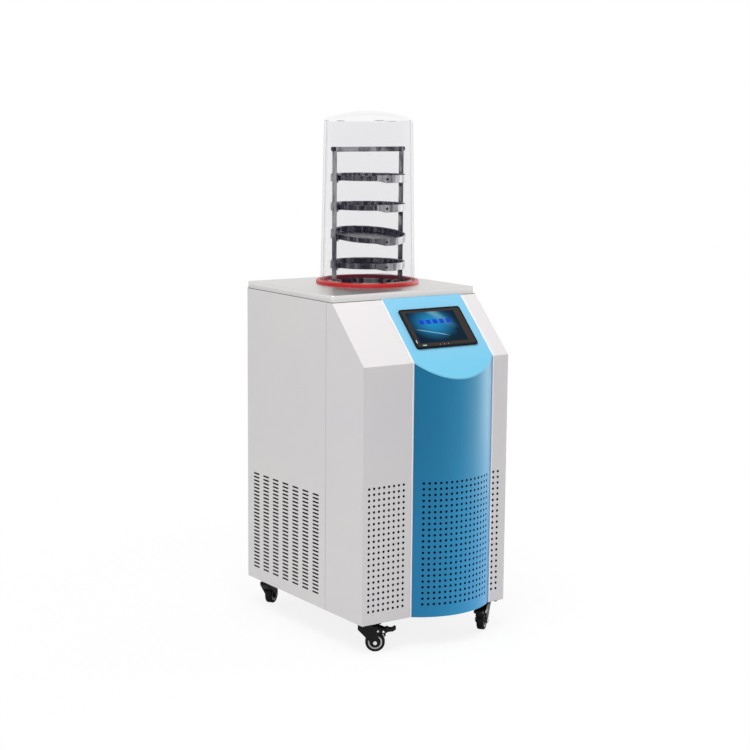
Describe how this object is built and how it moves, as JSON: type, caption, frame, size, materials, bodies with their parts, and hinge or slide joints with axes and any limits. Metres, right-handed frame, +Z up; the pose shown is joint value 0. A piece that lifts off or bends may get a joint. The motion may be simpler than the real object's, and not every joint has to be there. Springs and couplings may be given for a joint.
{
  "type": "freeze dryer",
  "caption": "Laboratory freeze dryer: steel cabinet on casters with a bowed blue front and sloping screen, cold trap under a clear bell jar that holds a rack of round trays",
  "frame": {"origin": "on the floor, under the middle of the whole machine's bounding box", "axes": "+X right as seen from the front, -Y to the front (screen and grille), +Z up"},
  "size_m": [0.45, 0.6548, 1.352],
  "materials": {
    "pan_grey": "satin",
    "frame_grey": "satin",
    "panel_white": "satin",
    "gasket_black": "matte",
    "worktop_steel": "brushed",
    "cover_blue": "gloss",
    "fascia_blue": "gloss",
    "trim_white": "gloss",
    "bezel_black": "gloss",
    "screen_teal": "gloss",
    "seal_red": "satin",
    "jar_clear": "clear",
    "rack_steel": "brushed",
    "screw_black": "matte",
    "ring_steel": "polished",
    "tray_steel": "polished",
    "well_steel": "polished",
    "coil_copper": "satin",
    "foam_cream": "matte",
    "tube_clear": "satin",
    "compressor_black": "satin",
    "fin_aluminium": "satin",
    "shroud_grey": "satin",
    "fan_black": "satin",
    "drier_copper": "satin",
    "port_steel": "polished",
    "valve_brass": "satin",
    "lever_red": "gloss",
    "electric_black": "satin",
    "rocker_red": "gloss",
    "screw_steel": "polished",
    "caster_black": "satin",
    "axle_steel": "polished",
    "wheel_black": "satin",
    "pedal_black": "satin"
  },
  "bodies": {
    "cabinet": {"base_pan": "pan_grey", "chassis_frame": "frame_grey", "front_shell": "panel_white", "left_side_panel": "panel_white", "right_side_panel": "panel_white", "back_panel": "panel_white", "worktop_gasket": "gasket_black", "worktop": "worktop_steel", "front_grille": "cover_blue", "screen_fascia": "fascia_blue", "cover_trims": "trim_white", "screen_bezel": "bezel_black", "screen_glass": "screen_teal", "seal_ring": "seal_red", "bell_jar": "jar_clear", "rack_frame": "rack_steel", "rack_screws": "screw_black", "shelf_ring_1": "ring_steel", "shelf_ring_2": "ring_steel", "shelf_ring_3": "ring_steel", "shelf_ring_4": "ring_steel", "tray_1": "tray_steel", "tray_2": "tray_steel", "tray_3": "tray_steel", "tray_4": "tray_steel", "trap_flange": "well_steel", "trap_well": "well_steel", "evaporator_coil": "coil_copper", "trap_insulation": "foam_cream", "drain_tube": "tube_clear", "compressor": "compressor_black", "condenser": "fin_aluminium", "fan_shroud": "shroud_grey", "filter_drier": "drier_copper", "vacuum_port": "port_steel", "drain_valve": "valve_brass", "switch_body": "electric_black", "power_inlet": "electric_black", "pump_socket": "electric_black", "panel_screws": "screw_steel", "caster_plates": "caster_black"},
    "swivel_front_left": {"fork_front_left": "caster_black", "axle_front_left": "axle_steel"},
    "wheel_front_left": {"wheel_front_left": "wheel_black"},
    "swivel_front_right": {"fork_front_right": "caster_black", "axle_front_right": "axle_steel"},
    "wheel_front_right": {"wheel_front_right": "wheel_black"},
    "swivel_rear_left": {"fork_rear_left": "caster_black", "axle_rear_left": "axle_steel"},
    "wheel_rear_left": {"wheel_rear_left": "wheel_black"},
    "swivel_rear_right": {"fork_rear_right": "caster_black", "axle_rear_right": "axle_steel"},
    "wheel_rear_right": {"wheel_rear_right": "wheel_black"},
    "brake_front_left": {"pedal_front_left": "pedal_black"},
    "brake_front_right": {"pedal_front_right": "pedal_black"},
    "fan": {"fan_rotor": "fan_black"},
    "valve_lever": {"drain_lever": "lever_red"},
    "power_rocker": {"switch_rocker": "rocker_red"}
  },
  "joints": [
    {"name": "swivel_front_left", "type": "hinge", "parent": "cabinet", "child": "swivel_front_left", "pos_m": [-0.186, -0.249, 0.0726], "axis": [0, 0, 1], "continuous": true},
    {"name": "roll_front_left", "type": "hinge", "parent": "swivel_front_left", "child": "wheel_front_left", "pos_m": [-0.1695, -0.2603, 0.025], "axis": [0.565, 0.8251, 0], "continuous": true},
    {"name": "swivel_front_right", "type": "hinge", "parent": "cabinet", "child": "swivel_front_right", "pos_m": [0.186, -0.249, 0.0726], "axis": [0, 0, 1], "continuous": true},
    {"name": "roll_front_right", "type": "hinge", "parent": "swivel_front_right", "child": "wheel_front_right", "pos_m": [0.17084, -0.26204, 0.025], "axis": [0.6521, -0.7581, 0], "continuous": true},
    {"name": "swivel_rear_left", "type": "hinge", "parent": "cabinet", "child": "swivel_rear_left", "pos_m": [-0.186, 0.238, 0.0726], "axis": [0, 0, 1], "continuous": true},
    {"name": "roll_rear_left", "type": "hinge", "parent": "swivel_rear_left", "child": "wheel_rear_left", "pos_m": [-0.16982, 0.24976, 0.025], "axis": [-0.5878, 0.809, 0], "continuous": true},
    {"name": "swivel_rear_right", "type": "hinge", "parent": "cabinet", "child": "swivel_rear_right", "pos_m": [0.186, 0.238, 0.0726], "axis": [0, 0, 1], "continuous": true},
    {"name": "roll_rear_right", "type": "hinge", "parent": "swivel_rear_right", "child": "wheel_rear_right", "pos_m": [0.1663, 0.24147, 0.025], "axis": [-0.1736, -0.9848, 0], "continuous": true},
    {"name": "brake_front_left", "type": "hinge", "parent": "swivel_front_left", "child": "brake_front_left", "pos_m": [-0.15217, -0.27216, 0.054], "axis": [0.565, 0.8251, 0], "range_deg": [0, 12]},
    {"name": "brake_front_right", "type": "hinge", "parent": "swivel_front_right", "child": "brake_front_right", "pos_m": [0.15492, -0.27574, 0.054], "axis": [0.6521, -0.7581, 0], "range_deg": [0, 12]},
    {"name": "fan_spin", "type": "hinge", "parent": "cabinet", "child": "fan", "pos_m": [0.04875, -0.189, 0.21], "axis": [0, 1, 0], "continuous": true},
    {"name": "drain_lever_turn", "type": "hinge", "parent": "cabinet", "child": "valve_lever", "pos_m": [0.035, 0.299, 0.5742], "axis": [0, 0, -1], "range_deg": [0, 90]},
    {"name": "power_rock", "type": "hinge", "parent": "cabinet", "child": "power_rocker", "pos_m": [0.15, 0.279, 0.228], "axis": [-1, 0, 0], "range_deg": [0, 20]}
  ]
}
